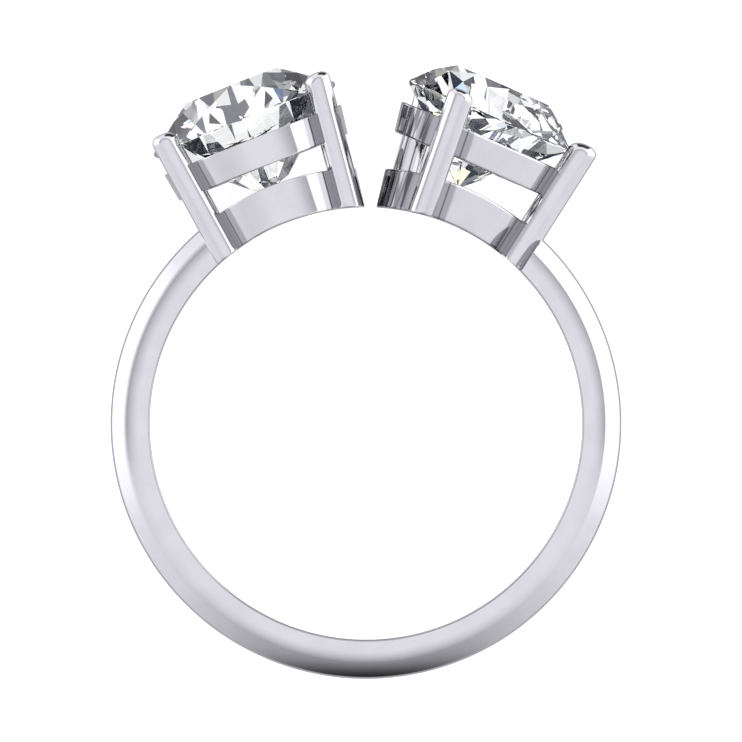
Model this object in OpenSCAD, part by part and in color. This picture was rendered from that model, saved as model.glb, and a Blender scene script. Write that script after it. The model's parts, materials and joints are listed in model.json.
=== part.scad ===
// A toi et moi ring: an open band between two four-prong baskets, one with a
// round brilliant and one with a heart brilliant. It lies on its side, as a
// ring rests on a table. Sizes are in millimetres.

/* [Finger and band] */
// Radius of the finger hole, a US size 7
hole_r = 8.65; // [7.5:0.05:10.5]
// Thickness of the band, from the finger to its crown
band_t = 1.57; // [1.3:0.01:2.2]
// Width of the band along the finger, where it is widest
band_w = 2.1; // [1.7:0.05:2.5]
// Reach of the band's flat end into the side of the heart's tip prong
band_bite = 0.1; // [0.05:0.01:0.2]
// Width of the tongue that carries the band through that prong
tongue_w = 0.9; // [0.6:0.05:1]
// Thickness of that tongue
tongue_t = 1.2; // [0.8:0.05:1.25]
// Gap between the feet of the two baskets, at the finger
heads_gap = 0.45; // [0.2:0.05:1.5]
// Turn of that gap from the top of the ring towards the heart, in degrees
gap_turn = 1.2; // [-3:0.1:3]

/* [Baskets] */
// Wall of the rails
rail_wall = 0.9; // [0.7:0.05:1.1]
// Draft of the rails and prongs towards the finger, in degrees
draft = 8.8; // [6:0.2:11]
// Diameter of a prong
prong_d = 1.08; // [0.9:0.02:1.3]
// Distance from the girdle out to the middle of a prong
prong_outset = 0.25; // [0.15:0.01:0.35]
// Clearance between a stone and the metal around it
stone_gap = 0.03; // [0.02:0.01:0.08]

/* [Round stone] */
// Diameter of the round stone at its girdle
round_d = 7.8; // [6:0.1:9]
// Diameter of its table, corner to corner
round_table_d = 3.9; // [3:0.1:5]
// Height of its crown above the girdle
round_crown_h = 1.4; // [0.9:0.05:1.6]
// Depth of its pavilion below the girdle
round_pavilion_h = 3.35; // [2.5:0.05:3.6]

/* [Round basket] */
// Gap between the band's crown and the upper rail
round_rail_lift = 0.81; // [0.5:0.01:1.5]
// Height of the upper rail
round_rail_h = 1.2; // [0.8:0.05:1.6]
// Drop from the girdle to the upper rail
round_rail_drop = 0.87; // [0.6:0.01:1.2]
// How far the line of the rails stands outside the girdle
round_rail_lip = 0.05; // [0:0.01:0.15]
// Turn of a prong from the line of the ring, in degrees
round_prong_turn = 39; // [30:1:60]
// Height of the prongs above the girdle
round_prong_top = 0.66; // [0.5:0.02:0.9]

/* [Heart stone] */
// Length from the middle of the basket to the tip
heart_tip_l = 3.12; // [2.8:0.02:3.6]
// Length from the middle of the basket to the ends of the lobes
heart_lobe_l = 3.87; // [3.4:0.02:4.2]
// Width of the heart
heart_w = 7.1; // [6:0.1:7.8]
// How far each lobe reaches past the middle line at the cleft
heart_lobes_overlap = 0.25; // [0.15:0.01:0.5]
// Radius of the bowed flank between a lobe and the tip
heart_flank_r = 14; // [9:0.5:20]
// Length of its table
heart_table_l = 4; // [3.2:0.05:4.6]
// Height of its crown above the girdle
heart_crown_h = 1.28; // [0.9:0.02:1.6]
// Depth of its pavilion below the girdle
heart_pavilion_h = 3.1; // [2.4:0.05:3.4]

/* [Heart basket] */
// Gap between the band's crown and the upper rail
heart_rail_lift = 0.95; // [0.5:0.01:1.5]
// Height of the upper rail
heart_rail_h = 1.22; // [0.8:0.02:1.6]
// Drop from the girdle to the upper rail
heart_rail_drop = 0.86; // [0.6:0.01:1.2]
// How far the line of the rails stands outside the girdle
heart_rail_lip = 0.1; // [0:0.01:0.15]
// Distance of the side prongs from the middle of the basket, towards the lobes
heart_side_prong_x = 1.7; // [1.4:0.05:2.2]
// Diameter of the prong at the tip
heart_tip_prong_d = 1.18; // [1:0.02:1.4]
// Distance from the tip out to the middle of its prong
heart_tip_prong_outset = 0.47; // [0.3:0.01:0.6]
// Distance from the cleft out to the middle of its prong
heart_cleft_prong_outset = 0.06; // [0:0.01:0.3]
// Height of the prongs above the girdle
heart_prong_top = 0.5; // [0.4:0.02:0.8]

/* [Cut of the stones] */
// Thickness of the girdles
girdle_t = 0.12; // [0.08:0.01:0.2]
// Reach of the star facets, as a share of the way from the middle to the girdle
star_share = 0.74; // [0.66:0.01:0.8]
// Inner end of the lower girdle facets, as the same kind of share
lower_share = 0.22; // [0.15:0.01:0.3]

/* [Hidden] */
$fn = 96;
metal = [0.86, 0.85, 0.89];
diamond = [0.9, 0.94, 1];
// Each pair of main facets spans an eighth of a turn
mains = 8;
half_main = 180 / mains;
// Steps of the heart's outline, from the tip along the flank and round the lobe
flank_steps = 6;
lobe_steps = 10;
cleft_steps = 4;
// How far a cutting tool runs past what it cuts, and metal into the hole before it is bored
past = 1;
// Share of the wall of the round basket's foot that the band's end runs through
band_end_share = 0.6;
// Turn of the ring over which the tongue runs back inside the band
tongue_root = 30;
// A first guess of the way down for the ring at rest, and how often it is improved
first_down = [0, -0.1, -1];
settling_turns = 8;

// Band and baskets, in the ring's own frame: the finger points along Z
band_r = hole_r + band_t;
taper = tan(draft);
round_r = round_d / 2;
round_rail_z = band_r + round_rail_lift;
round_girdle_z = round_rail_z + round_rail_h + round_rail_drop;
heart_rail_z = band_r + heart_rail_lift;
heart_girdle_z = heart_rail_z + heart_rail_h + heart_rail_drop;
prong_r = prong_d / 2;
tip_prong_r = heart_tip_prong_d / 2;

// The band is a round wire, flattened where it meets the finger
wire_r = band_w / 2;
wire_x = band_r - wire_r;

// The heart's outline: a lobe, and a flank that touches it and ends in the tip
heart_lobe_r = (heart_w / 2 + heart_lobes_overlap) / 2;
lobe_at = [heart_lobe_r - heart_lobe_l, heart_w / 2 - heart_lobe_r];
tip_at = [heart_tip_l, 0];
flank_at = meeting(lobe_at, heart_flank_r - heart_lobe_r, tip_at, heart_flank_r);
cleft_x = lobe_at[0] - sqrt(pow(heart_lobe_r, 2) - pow(lobe_at[1], 2));
heart_shrink = 2 * taper / (heart_tip_l + heart_lobe_l);
heart_table_share = heart_table_l / (heart_tip_l + heart_lobe_l);
// Middle of the heart's length, from which its rings of corners grow
heart_mid = [(heart_tip_l - heart_lobe_l) / 2, 0];

// Prongs of the heart at the girdle: the place of each, and its radius
heart_prongs = [
    [cleft_x - heart_cleft_prong_outset, 0, prong_r],
    [-heart_side_prong_x, heart_w / 2 + prong_outset, prong_r],
    [-heart_side_prong_x, -heart_w / 2 - prong_outset, prong_r],
    [heart_tip_l + heart_tip_prong_outset, 0, tip_prong_r]
];

// Each basket leans from the top of the ring until its foot clears the gap
gap_half = asin(heads_gap / 2 / hole_r);
round_wall_z0 = round_r + round_rail_lip - round_girdle_z * taper;
round_foot = foot(round_wall_z0, taper);
heart_lobe_wall = heart_lobe_l + heart_rail_lip;
heart_foot = foot(heart_lobe_wall * (1 - heart_girdle_z * heart_shrink), heart_lobe_wall * heart_shrink);
round_turn = -(atan2(round_foot[0], round_foot[1]) + gap_half - gap_turn);
heart_turn = atan2(heart_foot[0], heart_foot[1]) + gap_half + gap_turn;

// The band runs into the wall of the round basket's foot. At the heart it stops flat
// against the outside of the tip prong, and its tongue goes on into the rail's wall.
round_end = atan2(round_foot[0] - band_end_share * rail_wall, round_foot[1]);
tip_prong_reach = heart_prongs[3][0];
heart_tip_foot = (heart_tip_l + heart_rail_lip) * heart_scale(heart_foot[1]);
tongue_end = atan2(heart_tip_foot - rail_wall, hole_r);

// Point where the circle about a with radius ra meets that about b, on the right of a to b
function meeting(a, ra, b, rb) =
    let (
        way = b - a,
        far = norm(way),
        along = (far * far + ra * ra - rb * rb) / (2 * far),
        aside = sqrt(ra * ra - along * along),
        u = way / far
    )
    a + along * u + aside * [u[1], -u[0]];

// Where a wall x = x0 + lean * z runs into the finger hole
function foot(x0, lean) =
    let (
        a = 1 + lean * lean,
        b = x0 * lean,
        c = x0 * x0 - hole_r * hole_r,
        z = (-b + sqrt(b * b - a * c)) / a
    )
    [x0 + lean * z, z];

function turned(centre, r, angle) = centre + r * [cos(angle), sin(angle)];
function direction(v) = atan2(v[1], v[0]);
function heart_scale(z) = 1 - (heart_girdle_z - z) * heart_shrink;
function heart_prong_at(p, z) = [p[0] * heart_scale(z), p[1] * heart_scale(z), z];
function heart_prong_ends(p) = [
    heart_prong_at(p, heart_foot[1] - past),
    heart_prong_at(p, heart_girdle_z + heart_prong_top - p[2])
];

// Half of the heart's outline from the tip to the cleft, moved out by grow
function heart_half(grow) =
    let (
        flank_r = heart_flank_r + grow,
        lobe_r = heart_lobe_r + grow,
        tip_angle = asin(-flank_at[1] / flank_r),
        touch_angle = direction(lobe_at - flank_at),
        cleft_angle = grow < 0
            ? 360 + direction([cleft_x, 0] - lobe_at)
            : 180 + asin(lobe_at[1] / lobe_r),
        in_angle = cleft_angle - 180
    )
    concat(
        [for (i = [0:flank_steps - 1])
            turned(flank_at, flank_r, tip_angle + (touch_angle - tip_angle) * i / flank_steps)],
        [for (i = [0:lobe_steps])
            turned(lobe_at, lobe_r, touch_angle + (cleft_angle - touch_angle) * i / lobe_steps)],
        grow < 0
            ? [for (i = [1:cleft_steps])
                turned([cleft_x, 0], -grow, in_angle * (1 - i / cleft_steps))]
            : []
    );

// The whole outline, once round: the far half is the near one mirrored
function heart_outline(grow) =
    let (half = heart_half(grow), last = len(half) - 1)
    concat(
        [for (i = [0:last]) i == 0 || i == last ? [half[i][0], 0] : half[i]],
        [for (i = [last - 1:-1:1]) [half[i][0], -half[i][1]]]
    );

function round_outline(r) = [for (i = [0:2 * mains - 1]) turned([0, 0], r, i * half_main)];

// Corners of one ring of a stone: its girdle shrunk towards the middle, at height z
function ring(corners, mid, share, z) = [for (p = corners) [each mid + share * (p - mid), z]];
function every(list, step, first) = [for (i = [first:step:len(list) - 1]) list[i]];

// A brilliant cut over any girdle of 16 or 32 corners, whose first corner is a main one
module brilliant(girdle, mid, table_share, crown_h, pavilion_h, half_girdle) {
    n = len(girdle);
    step = n / mains;
    main_corners = every(girdle, step, 0);
    half_corners = every(girdle, step, step / 2);
    star_z = crown_h * (1 - star_share * cos(half_main)) / (1 - table_share);
    lower_z = pavilion_h * (1 - lower_share * cos(half_main));
    corners = concat(
        [[each mid, -half_girdle - pavilion_h]],
        ring(half_corners, mid, lower_share, -half_girdle - lower_z),
        ring(girdle, mid, 1, -half_girdle),
        ring(girdle, mid, 1, half_girdle),
        ring(half_corners, mid, star_share, half_girdle + star_z),
        ring(main_corners, mid, table_share, half_girdle + crown_h)
    );
    lower = 1;
    under = lower + mains;
    over = under + n;
    star = over + n;
    table = star + mains;
    faces = concat(
        [[for (k = [0:mains - 1]) table + k]],
        [for (k = [0:mains - 1]) [table + k, star + k, table + (k + 1) % mains]],
        [for (k = [0:mains - 1]) [table + k, star + (k + mains - 1) % mains, over + k * step]],
        [for (k = [0:mains - 1]) [table + k, over + k * step, star + k]],
        [for (k = [0:mains - 1], j = [0:step - 1])
            [star + k, over + k * step + j, over + (k * step + j + 1) % n]],
        [for (i = [0:n - 1]) [under + i, under + (i + 1) % n, over + (i + 1) % n, over + i]],
        [for (k = [0:mains - 1], j = [0:step - 1])
            [lower + k, under + (k * step + j + 1) % n, under + k * step + j]],
        [for (k = [0:mains - 1]) [0, lower + k, under + k * step]],
        [for (k = [0:mains - 1]) [0, under + k * step, lower + (k + mains - 1) % mains]]
    );
    polyhedron(corners, [for (f = faces) [for (i = [len(f) - 1:-1:0]) f[i]]]);
}

module round_brilliant() {
    brilliant(round_outline(round_r), [0, 0], round_table_d / round_d,
        round_crown_h, round_pavilion_h, girdle_t / 2);
}

module heart_brilliant(grow) {
    brilliant(heart_outline(grow), heart_mid, heart_table_share,
        heart_crown_h + grow, heart_pavilion_h + grow, girdle_t / 2 + grow);
}

// Room for the round stone: its section through the star facets, and the clearance
module round_seat() {
    table_r = round_table_d / 2;
    star_r = star_share * round_r;
    star_rise = round_crown_h * (round_r - star_r * cos(half_main)) / (round_r - table_r);
    lower_r = lower_share * round_r;
    lower_drop = round_pavilion_h * (1 - lower_share * cos(half_main));
    edge = girdle_t / 2;
    rotate_extrude()
        polygon([
            [0, -edge - round_pavilion_h - stone_gap],
            [lower_r + stone_gap, -edge - lower_drop - stone_gap],
            [round_r + stone_gap, -edge - stone_gap],
            [round_r + stone_gap, edge + stone_gap],
            [star_r + stone_gap, edge + star_rise + stone_gap],
            [table_r + stone_gap, edge + round_crown_h + stone_gap + past],
            [0, edge + round_crown_h + stone_gap + past]
        ]);
}

// Moves a head from its own frame, with Z out from the finger, to its place on the ring
module on_ring(turn) {
    rotate([0, 0, -turn]) rotate([-90, 0, 0]) children();
}

// Puts Z along the line from the first of two points to the second
module along(ends) {
    way = ends[1] - ends[0];
    translate(ends[0]) rotate([0, acos(way[2] / norm(way)), atan2(way[1], way[0])]) children();
}

// A prong from inside the finger hole up to its domed top
module prong(ends, r) {
    long = norm(ends[1] - ends[0]);
    along(ends) {
        cylinder(r = r, h = long);
        translate([0, 0, long]) sphere(r = r);
    }
}

// Keeps what lies inside the band's outer cylinder
module within_band() {
    intersection() {
        children();
        rotate([90, 0, 0]) cylinder(r = band_r, h = round_d + heart_w, center = true);
    }
}

module round_rail(bottom, top) {
    out_low = round_wall_z0 + bottom * taper;
    out_high = round_wall_z0 + top * taper;
    translate([0, 0, bottom]) difference() {
        cylinder(r1 = out_low, r2 = out_high, h = top - bottom);
        translate([0, 0, -past])
            cylinder(r1 = out_low - rail_wall - past * taper,
                r2 = out_high - rail_wall + past * taper, h = top - bottom + 2 * past);
    }
}

module round_basket() {
    round_rail(round_rail_z, round_rail_z + round_rail_h);
    within_band() round_rail(round_foot[1] - past, band_r + past);
    for (side = [0, 180], way = [-1, 1]) {
        reach = round_r + prong_outset;
        angle = side + way * round_prong_turn;
        top_z = round_girdle_z + round_prong_top - prong_r;
        top = reach + (round_prong_top - prong_r) * taper;
        low_z = round_foot[1] - past;
        low = reach - (round_girdle_z - low_z) * taper;
        prong([[each turned([0, 0], low, angle), low_z], [each turned([0, 0], top, angle), top_z]], prong_r);
    }
}

module heart_rail(bottom, top) {
    height = top - bottom;
    difference() {
        translate([0, 0, bottom])
            linear_extrude(height = height, scale = heart_scale(top) / heart_scale(bottom))
                scale(heart_scale(bottom)) polygon(heart_outline(heart_rail_lip));
        translate([0, 0, bottom - past])
            linear_extrude(height = height + 2 * past,
                    scale = heart_scale(top + past) / heart_scale(bottom - past))
                scale(heart_scale(bottom - past)) polygon(heart_outline(heart_rail_lip - rail_wall));
    }
}

module heart_basket() {
    heart_rail(heart_rail_z, heart_rail_z + heart_rail_h);
    within_band() heart_rail(heart_foot[1] - past, band_r + past);
    for (p = heart_prongs) prong(heart_prong_ends(p), p[2]);
}

// Sweeps a section round the ring between two angles from the top. Every section starts
// inside the finger hole, which is bored through all the metal at the end.
module swept(from, to) {
    rotate([0, 0, 90 + from]) rotate_extrude(angle = to - from) children();
}

// The open band, from one basket round to the other
module band() {
    heart_end = 360 - heart_turn - tongue_end;
    difference() {
        swept(round_end - round_turn, heart_end) translate([wire_x, 0]) circle(r = wire_r);
        on_ring(heart_turn) along(heart_prong_ends(heart_prongs[3]))
            translate([-tip_prong_reach, -band_w, -past])
                cube([tip_prong_reach + tip_prong_r - band_bite, 2 * band_w, hole_r]);
    }
    swept(heart_end - tongue_root, heart_end)
        translate([hole_r - past, -tongue_w / 2]) square([past + tongue_t, tongue_w]);
}

// How the ring rests on a surface: on the back prong of the heart, on the round basket
// and on the band opposite. Each point is where that piece reaches furthest along down.
function to_ring(p, turn) = [
    p[0] * cos(turn) + p[2] * sin(turn),
    p[2] * cos(turn) - p[0] * sin(turn),
    -p[1]
];
function furthest(points, down) =
    let (reach = [for (p = points) p * down], most = max(reach))
    [for (i = [0:len(points) - 1]) if (reach[i] == most) points[i]][0];
function rim_point(r, z, down) =
    let (
        axis = to_ring([0, 0, 1], round_turn),
        flat = down - (down * axis) * axis
    )
    to_ring([0, 0, z], round_turn) + r * flat / norm(flat);
function round_point(down) =
    let (rail_top = round_rail_z + round_rail_h)
    furthest([
        rim_point(round_r, round_girdle_z, down),
        rim_point(round_wall_z0 + rail_top * taper, rail_top, down),
        rim_point(round_wall_z0 + round_rail_z * taper, round_rail_z, down)
    ], down);
function heart_point(down) =
    let (p = heart_prongs[1])
    to_ring(heart_prong_ends(p)[1], heart_turn) + p[2] * down;
function band_point(down) =
    let (out = [down[0], down[1], 0])
    wire_x * out / norm(out) + wire_r * down;
function settled(down, turns) =
    turns == 0 ? down :
    let (
        band_touch = band_point(down),
        up = cross(heart_point(down) - band_touch, round_point(down) - band_touch)
    )
    settled(-up / norm(up), turns - 1);

// Turns the ring from its own frame to how it lies, about the middle of the finger hole
down = settled(first_down / norm(first_down), settling_turns);
module lying() {
    rotate(a = acos(-down[2]), v = cross(down, [0, 0, -1])) children();
}

module band_and_baskets() {
    color(metal) lying() difference() {
        union() {
            band();
            on_ring(round_turn) round_basket();
            on_ring(heart_turn) heart_basket();
        }
        cylinder(r = hole_r, h = 2 * (round_d + heart_w), center = true);
        on_ring(round_turn) translate([0, 0, round_girdle_z]) round_seat();
        on_ring(heart_turn) translate([0, 0, heart_girdle_z]) heart_brilliant(stone_gap);
    }
}

module round_stone() {
    color(diamond) lying() on_ring(round_turn) translate([0, 0, round_girdle_z]) round_brilliant();
}

module heart_stone() {
    color(diamond) lying() on_ring(heart_turn) translate([0, 0, heart_girdle_z]) heart_brilliant(0);
}

band_and_baskets();
round_stone();
heart_stone();
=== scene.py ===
import json
import math

import bmesh
import bpy
import numpy as np
from mathutils import Matrix, Vector


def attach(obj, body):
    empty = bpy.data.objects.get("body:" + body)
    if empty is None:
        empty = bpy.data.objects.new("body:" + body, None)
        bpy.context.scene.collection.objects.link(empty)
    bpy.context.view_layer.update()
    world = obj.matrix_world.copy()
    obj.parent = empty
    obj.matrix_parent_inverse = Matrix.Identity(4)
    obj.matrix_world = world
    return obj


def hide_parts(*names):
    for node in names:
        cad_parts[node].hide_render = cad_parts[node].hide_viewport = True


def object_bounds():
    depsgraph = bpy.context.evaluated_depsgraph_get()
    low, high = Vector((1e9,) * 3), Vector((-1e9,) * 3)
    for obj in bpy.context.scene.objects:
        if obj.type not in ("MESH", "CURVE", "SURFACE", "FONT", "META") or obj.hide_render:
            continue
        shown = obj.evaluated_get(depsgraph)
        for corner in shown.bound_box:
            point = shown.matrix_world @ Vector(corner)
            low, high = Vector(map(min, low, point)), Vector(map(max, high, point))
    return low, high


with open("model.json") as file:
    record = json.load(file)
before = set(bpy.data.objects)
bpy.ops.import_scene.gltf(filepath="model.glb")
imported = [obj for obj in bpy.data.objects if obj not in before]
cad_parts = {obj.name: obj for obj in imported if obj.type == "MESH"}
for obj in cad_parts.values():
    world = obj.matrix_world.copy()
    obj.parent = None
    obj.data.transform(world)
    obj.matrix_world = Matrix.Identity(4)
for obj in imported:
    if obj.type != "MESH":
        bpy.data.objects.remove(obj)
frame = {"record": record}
cad_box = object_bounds()

# The open band of the ring, polished white gold: a half-round wire bent round the finger.
# It grows out of the foot of the round stone's basket and stops flat against the outside
# of the heart's tip prong, where it is soldered. The whole ring lies on its side.
mm = 0.001
crease = math.radians(35)
hole_r = 8.65
band_t = 1.57
band_w = 2.1
band_edge = 0.08
band_bite = 0.1
band_end_share = 0.6
band_joint_edge = 0.05
heads_gap = 0.45
gap_turn = math.radians(1.2)
rail_wall = 0.9
taper = math.tan(math.radians(8.8))

round_stone_r = 3.9
round_rail_lip = 0.05
round_rail_lift = 0.81
round_rail_h = 1.2
round_rail_drop = 0.87

heart_tip_l = 3.12
heart_lobe_l = 3.87
heart_w = 7.1
heart_lobes_overlap = 0.25
heart_flank_r = 14
heart_rail_lip = 0.1
heart_rail_lift = 0.95
heart_rail_h = 1.22
heart_rail_drop = 0.86
tip_prong_r = 0.59
tip_prong_outset = 0.47

finger = Vector(frame["record"]["mounts"][0]["axis"])
lying = np.array(Vector((0, 0, 1)).rotation_difference(finger).to_matrix())


def meet(x0, lean, radius):
    """Height z at which the line x = x0 + lean * z crosses the circle x^2 + z^2 = radius^2."""
    whole = 1 + lean * lean
    half = x0 * lean
    return (-half + np.sqrt(half * half - whole * (x0 * x0 - radius * radius))) / whole


band_r = hole_r + band_t
round_rail_z = band_r + round_rail_lift
round_girdle_z = round_rail_z + round_rail_h + round_rail_drop
heart_rail_z = band_r + heart_rail_lift
heart_girdle_z = heart_rail_z + heart_rail_h + heart_rail_drop
heart_shrink = 2 * taper / (heart_tip_l + heart_lobe_l)
heart_narrow = 1 - heart_girdle_z * heart_shrink

# Each head leans out from the top of the ring until the feet leave the gap between them
round_wall_r = round_stone_r + round_rail_lip - round_girdle_z * taper
round_foot_z = meet(round_wall_r, taper, hole_r)
round_foot_x = round_wall_r + taper * round_foot_z
lobe_wall = heart_lobe_l + heart_rail_lip
heart_foot_z = meet(lobe_wall * heart_narrow, lobe_wall * heart_shrink, hole_r)
heart_foot_x = lobe_wall * (heart_narrow + heart_shrink * heart_foot_z)
half_gap = math.asin(heads_gap / 2 / hole_r)
round_turn = -(math.atan2(round_foot_x, round_foot_z) + half_gap - gap_turn)
heart_turn = math.atan2(heart_foot_x, heart_foot_z) + half_gap + gap_turn


class Head:
    """A place on the ring: z points out from the finger, x runs along the ring, y to the back."""

    def __init__(self, turn, girdle_z):
        self.girdle_z = girdle_z
        self.along = np.array([math.cos(turn), -math.sin(turn), 0])
        self.back = np.array([0, 0, -1])
        self.out = np.array([math.sin(turn), math.cos(turn), 0])

    def place(self, x, y, z):
        """Points of the head turned into the ring's frame."""
        x, y, z = (part[..., None] for part in np.broadcast_arrays(x, y, z))
        return x * self.along + y * self.back + z * self.out


round_head = Head(round_turn, round_girdle_z)
heart_head = Head(heart_turn, heart_girdle_z)


def softened(corners, edge):
    """Outline of a polygon with rounded corners: each is a quadratic curve that starts and
    ends edge away from the corner, with one more point just past it on either flat."""
    corners = np.asarray(corners, float)
    before = np.roll(corners, 1, 0) - corners
    after = np.roll(corners, -1, 0) - corners
    before /= np.linalg.norm(before, axis=1)[:, None]
    after /= np.linalg.norm(after, axis=1)[:, None]
    t = np.linspace(0, 1, 5)[None, :, None]
    start = (corners + edge * before)[:, None]
    end = (corners + edge * after)[:, None]
    bend = (1 - t) ** 2 * start + 2 * t * (1 - t) * corners[:, None] + t * t * end
    ahead = (corners + 1.4 * edge * before)[:, None]
    beyond = (corners + 1.4 * edge * after)[:, None]
    return np.concatenate([ahead, bend, beyond], 1).reshape(-1, 2)


def piece_from(name, mesh):
    """An object in the scene, from a mesh that is already in place."""
    piece = bpy.data.objects.new(name, mesh)
    bpy.context.collection.objects.link(piece)
    return piece


def skin(name, grid, closed_rows):
    """A smooth closed piece from a grid of points in the ring's frame. Columns run round and
    join up; rows join up too where closed_rows is true, and else end in a pole."""
    rows, columns = grid.shape[:2]
    last = rows if closed_rows else rows - 1
    i, j = np.meshgrid(np.arange(last), np.arange(columns), indexing="ij")
    above = (i + 1) % rows * columns
    beside = (j + 1) % columns
    quads = np.stack([i * columns + j, i * columns + beside, above + beside, above + j], -1)
    points = grid.reshape(-1, 3) @ lying.T * mm
    mesh = bpy.data.meshes.new(name)
    mesh.from_pydata(points.tolist(), [], quads.reshape(-1, 4).tolist())
    form = bmesh.new()
    form.from_mesh(mesh)
    bmesh.ops.remove_doubles(form, verts=form.verts, dist=1e-7)
    bmesh.ops.recalc_face_normals(form, faces=form.faces)
    form.to_mesh(mesh)
    form.free()
    mesh.shade_smooth()
    mesh.set_sharp_from_angle(angle=crease)
    return piece_from(name, mesh)


class Wire:
    """An output socket of a node tree. Sums with it add Math nodes, make() any other node."""

    def __init__(self, tree, socket=None):
        self.tree = tree
        self.socket = socket

    def make(self, kind, settings=None, inputs=None, output=0):
        """Adds a node of one type, sets it, then gives its sockets their values or links."""
        node = self.tree.nodes.new(kind)
        for name, value in (settings or {}).items():
            setattr(node, name, value)
        for name, value in (inputs or {}).items():
            if isinstance(value, Wire):
                self.tree.links.new(value.socket, node.inputs[name])
            else:
                node.inputs[name].default_value = value
        return Wire(self.tree, node.outputs[output]) if node.outputs else None

    def sum(self, operation, *values, clamp=False):
        """A Math node over numbers and wires."""
        settings = {"operation": operation, "use_clamp": clamp}
        return self.make("ShaderNodeMath", settings, dict(enumerate(values)))

    def reach(self, direction):
        """How far this vector reaches along a direction."""
        settings = {"operation": "DOT_PRODUCT"}
        return self.make("ShaderNodeVectorMath", settings, {0: self, 1: direction}, "Value")

    def rise(self, low, high):
        """0 up to low, 1 from high on, and a smooth step between them."""
        settings = {"interpolation_type": "SMOOTHSTEP"}
        return self.make("ShaderNodeMapRange", settings, {0: self, 1: low, 2: high})

    def blend(self, first, second):
        """The first colour where this is 0, the second where it is 1."""
        return self.make("ShaderNodeMix", {"data_type": "RGBA"}, {0: self, 6: first, 7: second}, 2)

    def __add__(self, other):
        return self.sum("ADD", self, other)

    def __sub__(self, other):
        return self.sum("SUBTRACT", self, other)

    def __mul__(self, other):
        return self.sum("MULTIPLY", self, other)

    def __truediv__(self, other):
        return self.sum("DIVIDE", self, other)

    def __pow__(self, other):
        return self.sum("POWER", self, other)

    def __rsub__(self, other):
        return self.sum("SUBTRACT", other, self)

    def __rtruediv__(self, other):
        return self.sum("DIVIDE", other, self)

    __radd__ = __add__
    __rmul__ = __mul__


def finish(name):
    """A new material, and the wire that its nodes are made with."""
    material = bpy.data.materials.new(name)
    material.use_nodes = True
    material.node_tree.nodes.clear()
    return material, Wire(material.node_tree)


def polished_white_gold():
    """Rhodium-bright white gold, with the faint haze and hairlines of a polishing mop. Painted
    shade greys the rails near the prongs, with a painted dark reflection line through it, and
    greys the rim of the finger hole and the lobe ends that face the round head."""
    material, wire = finish("polished_white_gold")
    place = wire.make("ShaderNodeTexCoord", output="Object")
    haze = wire.make("ShaderNodeTexNoise", {}, {"Vector": place, "Scale": 900.0, "Detail": 3.0})
    grain = wire.make("ShaderNodeTexNoise", {}, {"Vector": place, "Scale": 14000.0, "Detail": 2.0})
    bump = wire.make("ShaderNodeBump", {}, {"Strength": 0.06, "Distance": 2e-6, "Height": grain})
    # Painted shade: the attribute read here greys the metal, and the edge mask draws a painted dark
    # reflection line where it is near one half.
    painted_shade = wire.make("ShaderNodeAttribute", {"attribute_name": "painted_shade"}, {}, "Fac")
    bright = haze.rise(0.35, 0.7).blend((0.62, 0.62, 0.63, 1), (0.59, 0.59, 0.6, 1))
    edge = painted_shade.rise(0.44, 0.5) * (1 - painted_shade.rise(0.54, 0.62))
    corner = edge.blend((0.36, 0.36, 0.37, 1), (0.14, 0.14, 0.15, 1))
    shader = wire.make("ShaderNodeBsdfPrincipled", {}, {
        "Base Color": painted_shade.rise(0.0, 0.14).blend(bright, corner),
        "Metallic": 1.0,
        "Roughness": 0.045 + 0.05 * haze,
        "Normal": bump,
    })
    wire.make("ShaderNodeOutputMaterial", {}, {"Surface": shader})
    return material


white_gold = polished_white_gold()


def gold(piece):
    """White gold that is part of the band and baskets. The rays inside the stones pass it by,
    so that they reach the studio's light and the stones stay bright."""
    piece.data.materials.append(white_gold)
    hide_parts("band_and_baskets")
    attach(piece, "root")
    piece.visible_transmission = False


def places(piece):
    """A piece's points in the ring's frame, in millimetres."""
    points = np.empty(3 * len(piece.data.vertices), np.float32)
    piece.data.vertices.foreach_get("co", points)
    return points.reshape(-1, 3) @ lying / mm


def leave_painted_shade(piece, share):
    """Stores on each point how much painted shade it takes."""
    painted_shade = piece.data.attributes.new("painted_shade", "FLOAT", "POINT")
    painted_shade.data.foreach_set("value", share.astype(np.float32))


def band_section():
    """Half a turn of an ellipse for the outside and a flat for the finger: columns of distance
    from the middle of the hole, and height along the finger."""
    turn = np.linspace(math.pi / 2, -math.pi / 2, 41)
    side_r = hole_r + band_edge
    outside = np.stack([side_r + (band_t - band_edge) * np.cos(turn), band_w / 2 * np.sin(turn)], 1)
    quarter = np.linspace(0, math.pi / 2, 5)[1:]
    low = np.stack([
        side_r - band_edge * np.sin(quarter),
        -band_w / 2 + band_edge * (1 - np.cos(quarter)),
    ], 1)
    flat = np.stack([np.full(5, hole_r), np.linspace(low[-1, 1], -low[-1, 1], 7)[1:-1]], 1)
    high = low[::-1] * (1, -1)
    return np.concatenate([outside, low, flat, high[:-1]])


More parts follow.
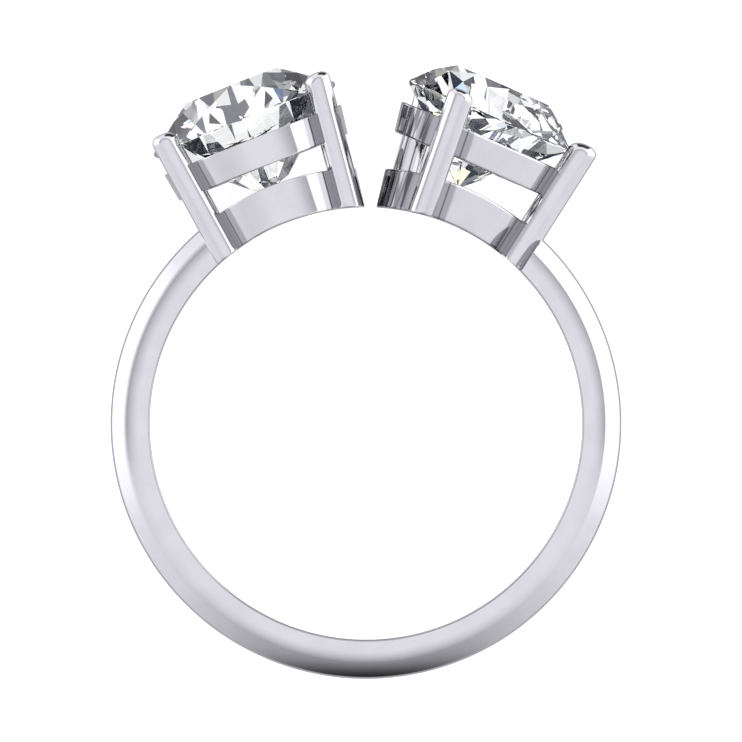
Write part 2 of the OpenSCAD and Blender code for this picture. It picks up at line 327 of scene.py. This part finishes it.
def band_grid():
    """The section carried round the ring. Its far end is cut along the tip prong, as the circle
    of each of its points meets the prong's side, and rounded off there: the last rows draw in
    by inset and stop short of the prong, both in parts of the joint's edge."""
    section = band_section()
    middle = np.array([hole_r + band_t / 2, 0])
    foot_x = round_foot_x - band_end_share * rail_wall
    start = math.atan2(foot_x, round_foot_z) - round_turn
    prong_x = heart_tip_l + tip_prong_outset
    lean = prong_x * heart_shrink
    side = prong_x * heart_narrow + (tip_prong_r - band_bite) * math.hypot(1, lean)
    inset = np.array([0, 0, 0, 0.1, 0.3, 0.6, 1])
    short = np.array([1.6, 1, 0.8, 0.45, 0.2, 0.05, 0])
    rows = []
    turns = np.linspace(0, 1, 181)
    for share, cut, back in [(t, 0, 0) for t in turns[:-1]] + [(1, c, s) for c, s in zip(inset, short)]:
        shape = section + (middle - section) * (cut * band_joint_edge / (band_t / 2))
        z = meet(side, lean, shape[:, 0])
        end = 2 * math.pi - heart_turn - np.arctan2(side + lean * z, z)
        turn = start + (end - 2 * band_joint_edge / band_r - start) * share if share < 1 else end
        turn = turn - back * band_joint_edge / band_r
        rows.append(np.stack([
            -shape[:, 0] * np.sin(turn),
            shape[:, 0] * np.cos(turn),
            shape[:, 1],
        ], 1))
    rows = np.array(rows)
    near = np.broadcast_to(rows[0].mean(0), rows[0].shape)
    far = np.broadcast_to(rows[-1].mean(0), rows[-1].shape)
    return np.concatenate([near[None], rows, far[None]])


def painted_shade_rim(points):
    """A quarter share of painted shade, a grey line, on the two rounded edges of the finger hole."""
    from_hole = np.hypot(points[:, 0], points[:, 1]) - hole_r
    from_side = band_w / 2 - np.abs(points[:, 2])
    return 0.25 * (from_hole < 0.8 * band_edge) * (from_side < 0.8 * band_edge)


band = skin("band", band_grid(), False)
# The rim of the finger hole takes a painted grey shade line.
leave_painted_shade(band, painted_shade_rim(places(band)))
gold(band)

# The round stone's basket, cast in white gold: an upper rail and a foot rail that flares to
# the stone, soldered inside four round wire prongs. The foot is bored with the finger hole
# and its top follows the outside of the band.
rail_edge = 0.05
# How far from a prong's surface the painted shade reaches, in millimetres.
joint_shade_reach = 0.65
round_columns = 384
prong_r = 0.54
prong_outset = 0.25
prong_below = 1
round_prong_top = 0.66
round_prong_turn = math.radians(39)


def round_prong(turn):
    """Ends of a round head's prong axis, from under its foot to the middle of its dome."""
    ends = []
    for z in (round_foot_z - prong_below, round_girdle_z + round_prong_top - prong_r):
        r = round_stone_r + prong_outset + (z - round_girdle_z) * taper
        ends.append((r * math.cos(turn), r * math.sin(turn), z))
    return ends[0], ends[1], prong_r


round_prongs = [
    round_prong(side + way * round_prong_turn) for side in (0, math.pi) for way in (-1, 1)
]


def painted_shade_joints(piece, head, wall, prongs):
    """The more painted shade the nearer to a prong: all of it at its surface, none from the
    joint's reach on. The distance to an axis is the part of the offset that is square to it. A
    wall may have an end that faces the other head, where it takes painted shade and streaks."""
    points = places(piece)
    near = wall.streaks(points @ head.along)
    for low, high, radius in prongs:
        low, high = head.place(*low), head.place(*high)
        way = (high - low) / np.linalg.norm(high - low)
        offset = points - low
        offset -= (offset @ way)[:, None] * way
        clear = np.linalg.norm(offset, axis=1) - radius
        near = np.maximum(near, 1 - np.clip(clear / joint_shade_reach, 0, 1))
    leave_painted_shade(piece, near)


class RoundWall:
    """A flaring round wall: its outline at offset grow from the outside, at any height."""

    def __init__(self):
        self.turn = np.linspace(0, 2 * math.pi, round_columns, endpoint=False)

    def lines(self, grow):
        """x, y at height 0 and how far each leans out a millimetre of height."""
        cos, sin = np.cos(self.turn), np.sin(self.turn)
        r0 = round_wall_r + grow
        return cos * r0, sin * r0, cos * taper, sin * taper

    def streaks(self, x):
        """None: the round wall takes no painted shade or streaks."""
        return 0 * x


def rail_grid(head, wall, profile, low, high):
    """A closed rail: a profile of (offset, share of the height) carried round the wall. low
    and high give the heights between which the share runs, for each line of the wall."""
    rows = []
    for grow, share in profile:
        x0, y0, lean_x, lean_y = wall.lines(grow)
        z = low(x0, lean_x) * (1 - share) + high(x0, lean_x) * share
        rows.append(head.place(x0 + lean_x * z, y0 + lean_y * z, z))
    return np.array(rows)


def flat_at(z):
    """The same height for every line of a wall."""
    return lambda x, lean: z + 0 * x


def round_finger(radius):
    """The height of each line of a wall where it meets a cylinder round the finger."""
    return lambda x, lean: meet(x, lean, radius)


def rail(name, head, wall, prongs, outside, edge, height, low, high):
    """A rail of rounded square section, from its low to its high line."""
    box = [(outside, 0), (outside, height), (outside - rail_wall, height), (outside - rail_wall, 0)]
    profile = softened(box, edge) / (1, height)
    piece = skin(name, rail_grid(head, wall, profile, low, high), True)
    painted_shade_joints(piece, head, wall, prongs)
    gold(piece)


def two_rails(name, head, wall, prongs, outside, edge, bottom, height):
    """A basket's flat upper rail, and its foot from the finger hole to the band's outside."""
    rail(f"{name}_rail", head, wall, prongs, outside, edge, height,
         flat_at(bottom), flat_at(bottom + height))
    rail(f"{name}_foot", head, wall, prongs, outside, edge, band_t,
         round_finger(hole_r), round_finger(band_r))


two_rails("round", round_head, RoundWall(), round_prongs,
          outside=0, edge=rail_edge, bottom=round_rail_z, height=round_rail_h)

# The prongs of the round head: white gold wire from the finger hole up past the stone, domed
# at the top. The notch that holds the girdle is cut when the stone is set.
prong_edge = 0.05
prong_short = 0.006
dome_h = 0.75
dome_fullness = 0.75


def prong_grid(head, low, high, radius):
    """A rod between two points of a head. Its foot follows the finger hole, a hair short of it,
    so that the casting closes over it: a line of the rod at start p in direction d meets it
    where |p + s * d| in the ring's plane is that radius. The top is a dome lower and squarer
    than a half ball, level with the girdle."""
    low, high = np.array(low), np.array(high)
    long = np.linalg.norm(high - low)
    way = (high - low) / long
    side = np.cross(way, (0, 1, 0))
    side /= np.linalg.norm(side)
    other = np.cross(way, side)
    turn = np.linspace(0, 2 * math.pi, 64, endpoint=False)
    ray = np.cos(turn)[:, None] * side + np.sin(turn)[:, None] * other
    plane = np.array([1, 0, 1])
    flat_way = way * plane

    def foot_at(start):
        whole = flat_way @ flat_way
        half = (start * plane) @ flat_way
        rest = ((start * plane) ** 2).sum(-1) - (hole_r + prong_short) ** 2
        return (-half + np.sqrt(half * half - whole * rest)) / whole

    rows = []
    for share in (0, 0.5, 0.9):
        start = low + ray * (radius - prong_edge) * share
        rows.append(start + foot_at(start)[:, None] * way)
    for turn_up in np.linspace(0, math.pi / 2, 5):
        start = low + ray * (radius - prong_edge * (1 - math.sin(turn_up)))
        lift = foot_at(start) + prong_edge * (1 - math.cos(turn_up))
        rows.append(start + lift[:, None] * way)
    sides = rows[-1]
    level = -(ray[:, 2] * radius / way[2])[:, None] * way
    for share in [0.02, 0.3, 0.6, *np.linspace(0.75, 0.99, 36)]:
        rows.append(sides + (low + ray * radius + long * way + level - sides) * share)
    for turn_up in np.linspace(0, math.pi / 2, 17):
        spread = math.cos(turn_up) ** dome_fullness
        lift = long + radius * (1 - dome_h + dome_h * math.sin(turn_up))
        rows.append(low + (ray * radius + level) * spread + lift * way)
    rows = np.array(rows)
    return head.place(rows[..., 0], rows[..., 1], rows[..., 2])


def prong(name, head, low, high, radius):
    """A prong, and the end of its axis at the stone."""
    piece = skin(name, prong_grid(head, low, high, radius), False)
    gold(piece)
    return piece, high


round_claws = [
    prong(f"round_prong_{number}", round_head, *ends) for number, ends in enumerate(round_prongs, 1)
]

# The heart stone's basket, made like the other but to the heart's outline. Two prongs hold
# the lobes, one stands in the cleft and a thicker one takes the tip.
heart_edge = 0.1
heart_prong_top = 0.5
heart_side_prong_x = 1.7
cleft_prong_outset = 0.06
# Where the painted shade and painted reflection streaks begin on the lobe ends, and the widths of the
# streaks' two waves.
painted_streaks_to = -1.9
wide_painted_streak = 0.47
narrow_painted_streak = 0.19
heart_lobe_r = (heart_w / 2 + heart_lobes_overlap) / 2
lobe_at = np.array([heart_lobe_r - heart_lobe_l, heart_w / 2 - heart_lobe_r])
cleft_x = lobe_at[0] - math.sqrt(heart_lobe_r ** 2 - lobe_at[1] ** 2)
tip_at = np.array([heart_tip_l, 0])


def flank_middle():
    """Middle of the flank's arc, which touches the lobe from inside and ends in the tip: where
    the circle of the two radii's difference about the lobe meets the flank's about the tip."""
    way = tip_at - lobe_at
    far = np.linalg.norm(way)
    first = heart_flank_r - heart_lobe_r
    part = (far ** 2 + first ** 2 - heart_flank_r ** 2) / (2 * far)
    aside = math.sqrt(first ** 2 - part ** 2)
    way /= far
    return lobe_at + part * way + aside * np.array([way[1], -way[0]])


flank_at = flank_middle()


def heart_line(grow, fine):
    """The heart's outline moved out by grow, from the tip along the flank, round the lobe to
    the cleft, and back mirrored. Each arc has 6, 10 and 4 steps of fine points."""
    flank_r, lobe_r = heart_flank_r + grow, heart_lobe_r + grow
    tip_turn = math.asin(-flank_at[1] / flank_r)
    touch = math.atan2(*(lobe_at - flank_at)[::-1])
    if grow < 0:
        cleft_turn = 2 * math.pi + math.atan2(-lobe_at[1], cleft_x - lobe_at[0])
    else:
        cleft_turn = math.pi + math.asin(lobe_at[1] / lobe_r)
    flank = np.linspace(tip_turn, touch, 6 * fine, endpoint=False)
    lobe = np.linspace(touch, cleft_turn, 10 * fine, endpoint=False)
    cleft = np.linspace(cleft_turn - math.pi, 0, 4 * fine + 1)
    corner = lobe_at + lobe_r * np.array([math.cos(cleft_turn), math.sin(cleft_turn)])
    middle = np.array([cleft_x, 0]) if grow < 0 else corner * (1, 0)
    half = np.concatenate([
        flank_at + flank_r * np.stack([np.cos(flank), np.sin(flank)], 1),
        lobe_at + lobe_r * np.stack([np.cos(lobe), np.sin(lobe)], 1),
        middle + max(-grow, 0) * np.stack([np.cos(cleft), np.sin(cleft)], 1),
    ])
    half[[0, -1], 1] = 0
    return np.concatenate([half, half[-2:0:-1] * (1, -1)])


class HeartWall:
    """A wall to the heart's outline, which shrinks towards the finger."""

    def lines(self, grow):
        """x, y at height 0 and how far each leans out a millimetre of height."""
        x, y = heart_line(grow, fine=8).T
        return x * heart_narrow, y * heart_narrow, x * heart_shrink, y * heart_shrink

    def streaks(self, x):
        """Painted shade with streaks of painted reflection on the ends of the lobes, which face the
        round head: two waves of unlike widths, so that they come at uneven distances."""
        end = np.clip((painted_streaks_to - x) / 0.2, 0, 1)
        wide = np.sin(2 * math.pi * x / wide_painted_streak)
        narrow = np.sin(2 * math.pi * x / narrow_painted_streak)
        return end * (0.5 - 0.08 * wide - 0.06 * narrow)


side_y = heart_w / 2 + prong_outset


def heart_prong(x, y, radius):
    """Ends of a heart head's prong axis, which keeps its place on the shrinking outline."""
    ends = []
    for z in (heart_foot_z - prong_below, heart_girdle_z + heart_prong_top - radius):
        scale = heart_narrow + heart_shrink * z
        ends.append((x * scale, y * scale, z))
    return ends[0], ends[1], radius


heart_prongs = {
    "cleft": heart_prong(cleft_x - cleft_prong_outset, 0, prong_r),
    "back": heart_prong(-heart_side_prong_x, side_y, prong_r),
    "front": heart_prong(-heart_side_prong_x, -side_y, prong_r),
    "tip": heart_prong(heart_tip_l + tip_prong_outset, 0, tip_prong_r),
}
two_rails("heart", heart_head, HeartWall(), heart_prongs.values(),
          outside=heart_rail_lip, edge=heart_edge, bottom=heart_rail_z, height=heart_rail_h)
heart_claws = [
    prong(f"heart_prong_{name}", heart_head, *ends) for name, ends in heart_prongs.items()
]

# The stones: a round and a heart brilliant, colourless diamond ground to flat facets that
# meet in sharp corners. Each sits in notches filed into its prongs, with a hair to spare.
seat_gap = 0.03
girdle_t = 0.12
star_share = 0.74
ridge_share = 0.8
lower_share = 0.22
heart_table_l = 4
mains = 8
half_main = math.pi / mains


def diamond_finish(refraction):
    """Clear diamond with the faintest clouds in it. It bends light less than the real stone
    does, so that less of it is caught inside."""
    material, wire = finish("diamond")
    place = wire.make("ShaderNodeTexCoord", output="Object")
    clouds = wire.make("ShaderNodeTexNoise", {}, {"Vector": place, "Scale": 700.0, "Detail": 2.0})
    shader = wire.make("ShaderNodeBsdfPrincipled", {}, {
        "Base Color": clouds.rise(0.4, 0.65).blend((1, 1, 1, 1), (0.97, 0.985, 1, 1)),
        "Roughness": 0.0,
        "IOR": refraction,
        "Transmission Weight": 1.0,
    })
    wire.make("ShaderNodeOutputMaterial", {}, {"Surface": shader})
    return material


def plane_height(points, first, second, third):
    """Height at each point's place on the plane through three corners."""
    up = np.cross(second - first, third - first)
    return first[2] - ((points[:, :2] - first[:2]) @ up[:2]) / up[2]


def brilliant(name, head, girdle, middle, table_share, crown_h, pavilion_h, bulge, refraction):
    """A brilliant over a girdle line whose first point is a main corner. Rings of corners are
    the girdle shrunk towards the middle: the table, the star points and the lower points. Each
    crown main is four facets about a ridge point, a bulge above their plane. The girdle's own
    edges follow the planes of the facets beside it, so they wave."""
    count = len(girdle)
    step = count // mains
    edge = girdle_t / 2
    star_z = edge + crown_h * (1 - star_share * math.cos(half_main)) / (1 - table_share)
    ridge_z = edge + crown_h * (1 - ridge_share) / (1 - table_share) + bulge
    lower_z = -edge - pavilion_h * (1 - lower_share * math.cos(half_main))

    def ring(start, share, z):
        line = middle + share * (girdle[start::step] - middle)
        return np.concatenate([line, np.full((len(line), 1), z)], 1)

    table = ring(0, table_share, edge + crown_h)
    stars = ring(step // 2, star_share, star_z)
    lowers = ring(step // 2, lower_share, lower_z)
    ridges = ring(0, ridge_share, ridge_z)
    culet = np.array([[*middle, -edge - pavilion_h]])
    over = np.concatenate([girdle, np.full((count, 1), edge)], 1)
    under = np.concatenate([girdle, np.full((count, 1), -edge)], 1)
    half = step // 2
    waved_over, waved_under = over.copy(), under.copy()
    for k in range(2 * mains):
        span = np.arange(k * half, (k + 1) * half + 1) % count
        inner = k // 2
        a, b = span[0], span[-1]
        waved_over[span, 2] = plane_height(over[span], stars[inner], over[a], over[b])
        waved_under[span, 2] = plane_height(under[span], lowers[inner], under[a], under[b])
    points = np.concatenate([table, stars, waved_over, waved_under, lowers, culet, ridges])
    star0, over0, under0 = mains, 2 * mains, 2 * mains + count
    lower0 = under0 + count
    ridge0 = lower0 + mains + 1
    faces = [list(range(mains))]
    for k in range(mains):
        left, right = (k - 1) % mains, (k + 1) % mains
        main = k * step
        faces.append([k, star0 + k, right])
        around = [k, star0 + left, over0 + main, star0 + k]
        faces += [[ridge0 + k, around[i - 1], around[i]] for i in range(4)]
        faces.append([lower0 + mains, lower0 + k, under0 + main, lower0 + left])
        for part in range(2):
            span = [(main + part * half + i) % count for i in range(half + 1)]
            faces.append([star0 + k] + [over0 + i for i in span])
            faces.append([lower0 + k] + [under0 + i for i in span])
    for i in range(count):
        beside = (i + 1) % count
        faces.append([over0 + i, over0 + beside, under0 + beside, under0 + i])
    z = points[:, 2] + head.girdle_z
    placed = head.place(points[:, 0], points[:, 1], z) @ lying.T * mm
    mesh = bpy.data.meshes.new(name)
    mesh.from_pydata(placed.tolist(), [], faces)
    form = bmesh.new()
    form.from_mesh(mesh)
    bmesh.ops.recalc_face_normals(form, faces=form.faces)
    form.to_mesh(mesh)
    form.free()
    mesh.materials.append(diamond_finish(refraction))
    return piece_from(name, mesh)


def pressed_out(points, away, stone):
    """Points that are in a stone, or nearer to it than the gap, moved along a direction until
    they clear it. The line p + t * d reaches the plane of a corner a and the square n at
    t = (a - p) . n / (d . n), going out of the stone where d . n is above 0, and the place is
    in the triangle where it lies on the inner side of all three edges. A point is in the stone
    where its first way through a triangle goes out."""
    stone.data.calc_loop_triangles()
    corners = np.empty(3 * len(stone.data.loop_triangles), np.int32)
    stone.data.loop_triangles.foreach_get("vertices", corners)
    triangles = places(stone)[corners].reshape(-1, 3, 3)
    facing = np.cross(triangles[:, 1] - triangles[:, 0], triangles[:, 2] - triangles[:, 0])
    slope = facing @ away
    crossed = np.abs(slope) > 1e-6
    triangles, facing, slope = triangles[crossed], facing[crossed], slope[crossed]
    start = points - seat_gap * away
    t = ((triangles[:, 0] * facing).sum(1) - start @ facing.T) / slope
    spots = start[:, None] + t[..., None] * away
    met = t > 0
    for first, second in ((0, 1), (1, 2), (2, 0)):
        inner = np.cross(facing, triangles[:, second] - triangles[:, first])
        met &= ((spots - triangles[:, first]) * inner).sum(-1) >= 0
    t = np.where(met, t, np.inf)
    out = t[:, slope > 0].min(1)
    into = t[:, slope < 0].min(1)
    return points + np.where(out < into, out, 0)[:, None] * away


def set_stone(stone, node, head, middle, claws):
    """A stone in its basket, with each prong notched away from the stone's middle."""
    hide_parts(node)
    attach(stone, "root")
    for claw, (x, y, _) in claws:
        away = head.place(x - middle[0], y - middle[1], 0)
        notched = pressed_out(places(claw), away / np.linalg.norm(away), stone)
        claw.data.vertices.foreach_set("co", (notched @ lying.T * mm).astype(np.float32).ravel())
        claw.data.update()
        claw.data.set_sharp_from_angle(angle=crease)


round_turns = np.linspace(0, 2 * math.pi, 128, endpoint=False)
round_girdle = round_stone_r * np.stack([np.cos(round_turns), np.sin(round_turns)], 1)
round_middle = np.zeros(2)
round_brilliant = brilliant(
    "round_brilliant", round_head, round_girdle, round_middle,
    table_share=0.5, crown_h=1.4, pavilion_h=3.35, bulge=0.02, refraction=2.1,
)
set_stone(round_brilliant, "round_stone", round_head, round_middle, round_claws)

heart_middle = np.array([(heart_tip_l - heart_lobe_l) / 2, 0])
heart_girdle = heart_line(0, fine=4)
apart = np.linalg.norm(heart_girdle - np.roll(heart_girdle, 1, 0), axis=1) > 1e-6
heart_girdle = heart_girdle[apart]
heart_brilliant = brilliant(
    "heart_brilliant", heart_head, heart_girdle, heart_middle,
    table_share=heart_table_l / (heart_tip_l + heart_lobe_l),
    crown_h=1.28, pavilion_h=3.1, bulge=0.16, refraction=1.6,
)
set_stone(heart_brilliant, "heart_stone", heart_head, heart_middle, heart_claws)

# The studio: a pale table under the ring, soft light from a pale dome, and the camera
# looking straight along the finger axis from so far off that nothing shrinks with depth.
camera_far = 1200
camera_aim = (0.2, 2.1)
picture_w = 29.68
overhead = (1.18, 1.155, 1.24)
overhead_edge = 0.075
sides_from = 0.38
bright_side = 0.8
under_grey = 0.5
panels_at = (1.04, 2.0, -6.38)
panels_fine = 3.1
tent_white = (1.2, 1.2, 1.2, 1)
tent_blue = (0.6, 0.8, 1.25, 1)
tent_warm = (1.2, 1.18, 0.92, 1)
panel_dark = (0.04, 0.05, 0.07, 1)
table_wide = 0.6
table_glow = 0.85


def shaded(wire, tone):
    """The overhead colour dimmed or brightened by a tone."""
    settings = {"operation": "SCALE"}
    return wire.make("ShaderNodeVectorMath", settings, {0: overhead, "Scale": tone})


def metal_light(wire, far, north, east):
    """What the metal mirrors, by 1 - cos of the angle from the finger axis and by the compass
    round it. The lavender light overhead greys to dip at its edge. Then come the sides: bright
    to the left and right, dim below the picture, where low is 1, and with a dark card above
    it. Straight under the ring it is grey again."""
    low = wire.sum("MAXIMUM", (0 - north) * 2 - 1, 0)
    dip = 0.92 - 0.59 * low ** 1.8 - 0.4 * north.rise(-0.3, 0.0)
    top = 1 - (1 - dip) * wire.sum("MULTIPLY", far - overhead_edge, 3.2, clamp=True)
    fall = 1 / wire.sum("EXPONENT", 2.3 * low ** 12 * (far - 0.385))
    fade = 1 - 0.8 * (north - 0.15 * east).rise(0.6, 0.8)
    side = (0.95 - 0.6 * low ** 1.8 + bright_side * north.rise(-0.55, 0.1) * fade) * fall
    soft = east.rise(-0.6, 0.4)
    share = wire.sum("DIVIDE", far - sides_from, 0.22 - 0.2 * soft, clamp=True)
    card = (0.96 * north + 0.28 * east).rise(0.86, 0.93) * far.rise(0.85, 0.95)
    under = far.rise(1.55, 1.75)
    tone = (top * (1 - share) + side * share) * (1 - 0.95 * card)
    return shaded(wire, tone * (1 - under) + under_grey * under)


def stone_light(wire, way):
    """What shines through the stones: a white tent with dark and faintly tinted panels, each
    cell of a coarse pattern over the directions taking its tone by lot."""
    moved = wire.make("ShaderNodeVectorMath", {"operation": "ADD"}, {0: way, 1: panels_at})
    lot = wire.make("ShaderNodeTexVoronoi", {}, {"Vector": moved, "Scale": panels_fine}, "Color")
    tone, blue, warm = [wire.make("ShaderNodeSeparateColor", {}, {0: lot}, part) for part in range(3)]
    tent = blue.rise(0.9, 0.91).blend(tent_white, tent_blue)
    tent = warm.rise(0.92, 0.93).blend(tent, tent_warm)
    return tone.rise(0.22, 0.62).blend(panel_dark, tent)


def dome():
    """Soft light by direction; the camera itself sees plain white past the table."""
    world = bpy.data.worlds.new("studio")
    bpy.context.scene.world = world
    world.use_nodes = True
    world.node_tree.nodes.clear()
    wire = Wire(world.node_tree)
    way = wire.make("ShaderNodeTexCoord", output="Generated")
    up = way.reach(tuple(lying[:, 2]))
    aside = wire.sum("SQRT", wire.sum("MAXIMUM", 1 - up * up, 1e-4))
    north = way.reach(tuple(lying[:, 1])) / aside
    east = way.reach(tuple(lying[:, 0])) / aside
    through = wire.make("ShaderNodeLightPath", output="Is Transmission Ray")
    seen = wire.make("ShaderNodeLightPath", output="Is Camera Ray")
    light = through.blend(metal_light(wire, 1 - up, north, east), stone_light(wire, way))
    colour = seen.blend(light, (1, 1, 1, 1))
    light = wire.make("ShaderNodeBackground", {}, {"Color": colour})
    wire.make("ShaderNodeOutputWorld", {}, {"Surface": light})


dome()


def pale_table():
    """Matt white board, lit from inside a little so that the ring's shadow stays faint."""
    material, wire = finish("pale_table")
    board = wire.make("ShaderNodeBsdfPrincipled", {}, {
        "Base Color": (0.5, 0.5, 0.5, 1),
        "Roughness": 0.7,
        "Emission Color": (1, 1, 1, 1),
        "Emission Strength": table_glow,
    })
    wire.make("ShaderNodeOutputMaterial", {}, {"Surface": board})
    return material


floor_z = cad_box[0].z
corners = [(x * table_wide, y * table_wide, floor_z) for x, y in ((-1, -1), (1, -1), (1, 1), (-1, 1))]
table_mesh = bpy.data.meshes.new("table")
table_mesh.from_pydata(corners, [], [(0, 1, 2, 3)])
table_mesh.materials.append(pale_table())
table = piece_from("table", table_mesh)
table.visible_glossy = False
table.visible_transmission = False

lens = bpy.data.cameras.new("camera")
lens.sensor_width = 36
lens.lens = lens.sensor_width * camera_far / picture_w
lens.clip_start = 0.01
lens.clip_end = 10
camera = bpy.data.objects.new("camera", lens)
bpy.context.collection.objects.link(camera)
spot = lying @ np.array([*camera_aim, camera_far]) * mm
turned = Matrix(lying.tolist()).to_4x4()
camera.matrix_world = Matrix.Translation(Vector(spot.tolist())) @ turned
bpy.context.scene.camera = camera
bpy.context.scene.view_settings.view_transform = "Standard"
